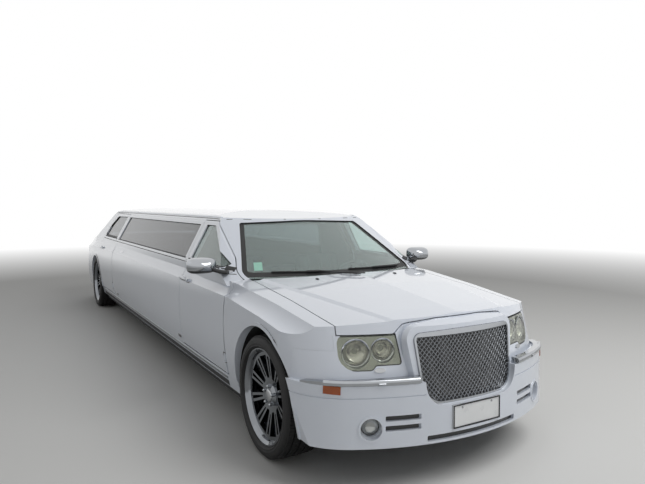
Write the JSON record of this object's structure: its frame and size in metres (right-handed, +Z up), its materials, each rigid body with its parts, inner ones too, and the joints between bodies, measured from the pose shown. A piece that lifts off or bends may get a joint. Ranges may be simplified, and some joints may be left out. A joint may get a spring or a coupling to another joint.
{
  "type": "stretch limousine",
  "caption": "Four-door saloon car stretched between its doors, with long side windows, opening doors, bonnet and boot, and steered front wheels.",
  "frame": {"origin": "on the ground, at the middle of the car's length and width", "axes": "+X forward, +Y to the car's left, +Z up"},
  "size_m": [8.0558, 2.2314, 1.483],
  "materials": {
    "black_plastic": "grained black",
    "cast": "as cast",
    "chrome": "polished",
    "dark_steel": "oiled steel",
    "glass_clear": "green tinted glass",
    "glass_dark": "dark tinted glass",
    "leather": "grained",
    "lens": "clear moulded lens, aged",
    "lens_red": "moulded red lens",
    "paint": "gloss white lacquer",
    "plate": "blank",
    "rim_chrome": "chromed alloy",
    "tyre": "moulded rubber",
    "under": "underseal"
  },
  "bodies": {
    "chassis": {"bumper_brightwork": "chrome", "cabin_seats": "leather", "centre_side_left": "paint", "centre_side_right": "paint", "cowl": "black_plastic", "dashboard": "black_plastic", "engine_block": "cast", "exhaust": "dark_steel", "fog_lamps": "chrome", "front_bumper": "paint", "front_seats": "leather", "front_subframe": "dark_steel", "front_wing_left": "paint", "front_wing_right": "paint", "grille_frame": "chrome", "grille_mesh": "chrome", "headlamp_housings": "chrome", "headlamp_lenses": "lens", "long_windows": "glass_dark", "number_plate": "plate", "partition": "black_plastic", "radiator": "black_plastic", "rear_axle": "dark_steel", "rear_bumper": "paint", "rear_deck": "paint", "rear_window": "glass_dark", "rear_wing_left": "paint", "rear_wing_right": "paint", "roof": "paint", "sills": "paint", "tail_lamps": "lens_red", "underbody": "under", "windscreen": "glass_clear"},
    "front_door_left": {"front_door_left": "paint", "front_door_glass_left": "glass_clear", "mirror_left": "paint"},
    "rear_door_left": {"rear_door_left": "paint", "rear_door_glass_left": "glass_dark"},
    "knuckle_left": {"knuckle_left": "dark_steel"},
    "wheel_front_left": {"rim_front_left": "rim_chrome", "tyre_front_left": "tyre"},
    "wheel_rear_left": {"rim_rear_left": "rim_chrome", "tyre_rear_left": "tyre"},
    "front_door_right": {"front_door_right": "paint", "front_door_glass_right": "glass_clear", "mirror_right": "paint"},
    "rear_door_right": {"rear_door_right": "paint", "rear_door_glass_right": "glass_dark"},
    "knuckle_right": {"knuckle_right": "dark_steel"},
    "wheel_front_right": {"rim_front_right": "rim_chrome", "tyre_front_right": "tyre"},
    "wheel_rear_right": {"rim_rear_right": "rim_chrome", "tyre_rear_right": "tyre"},
    "bonnet": {"bonnet": "paint"},
    "boot_lid": {"boot_lid": "paint"},
    "steering_wheel": {"steering_wheel": "black_plastic"}
  },
  "joints": [
    {"name": "front_door_left_hinge", "type": "hinge", "parent": "chassis", "child": "front_door_left", "pos_m": [2.524, 0.918, 0.63], "axis": [0, 0, -1], "range_deg": [0, 65]},
    {"name": "rear_door_left_hinge", "type": "hinge", "parent": "chassis", "child": "rear_door_left", "pos_m": [-1.657, 0.918, 0.63], "axis": [0, 0, -1], "range_deg": [0, 65]},
    {"name": "front_door_right_hinge", "type": "hinge", "parent": "chassis", "child": "front_door_right", "pos_m": [2.524, -0.918, 0.63], "axis": [0, 0, 1], "range_deg": [0, 65]},
    {"name": "rear_door_right_hinge", "type": "hinge", "parent": "chassis", "child": "rear_door_right", "pos_m": [-1.657, -0.918, 0.63], "axis": [0, 0, 1], "range_deg": [0, 65]},
    {"name": "bonnet_hinge", "type": "hinge", "parent": "chassis", "child": "bonnet", "pos_m": [2.546, 0, 0.99], "axis": [0, -1, 0], "range_deg": [0, 50]},
    {"name": "boot_hinge", "type": "hinge", "parent": "chassis", "child": "boot_lid", "pos_m": [-3.405, 0, 1.086], "axis": [0, 1, 0], "range_deg": [0, 60]},
    {"name": "steer_left", "type": "hinge", "parent": "chassis", "child": "knuckle_left", "pos_m": [3.148, 0.745, 0.372], "axis": [0, 0, 1], "range_deg": [-32, 32]},
    {"name": "steer_right", "type": "hinge", "parent": "chassis", "child": "knuckle_right", "pos_m": [3.148, -0.745, 0.372], "axis": [0, 0, 1], "range_deg": [-32, 32]},
    {"name": "steering_wheel_turn", "type": "hinge", "parent": "chassis", "child": "steering_wheel", "pos_m": [2.128, 0.37, 0.88], "axis": [-0.9135, 0, 0.4067], "range_deg": [-480, 480]},
    {"name": "wheel_front_left_spin", "type": "hinge", "parent": "knuckle_left", "child": "wheel_front_left", "pos_m": [3.148, 0.8, 0.372], "axis": [0, 1, 0], "continuous": true},
    {"name": "wheel_rear_left_spin", "type": "hinge", "parent": "chassis", "child": "wheel_rear_left", "pos_m": [-2.948, 0.8, 0.372], "axis": [0, 1, 0], "continuous": true},
    {"name": "wheel_front_right_spin", "type": "hinge", "parent": "knuckle_right", "child": "wheel_front_right", "pos_m": [3.148, -0.8, 0.372], "axis": [0, 1, 0], "continuous": true},
    {"name": "wheel_rear_right_spin", "type": "hinge", "parent": "chassis", "child": "wheel_rear_right", "pos_m": [-2.948, -0.8, 0.372], "axis": [0, 1, 0], "continuous": true}
  ],
  "couplings": [
    {"joint": "steer_right", "follows": "steer_left", "ratio": 1},
    {"joint": "steering_wheel_turn", "follows": "steer_left", "ratio": 15}
  ]
}
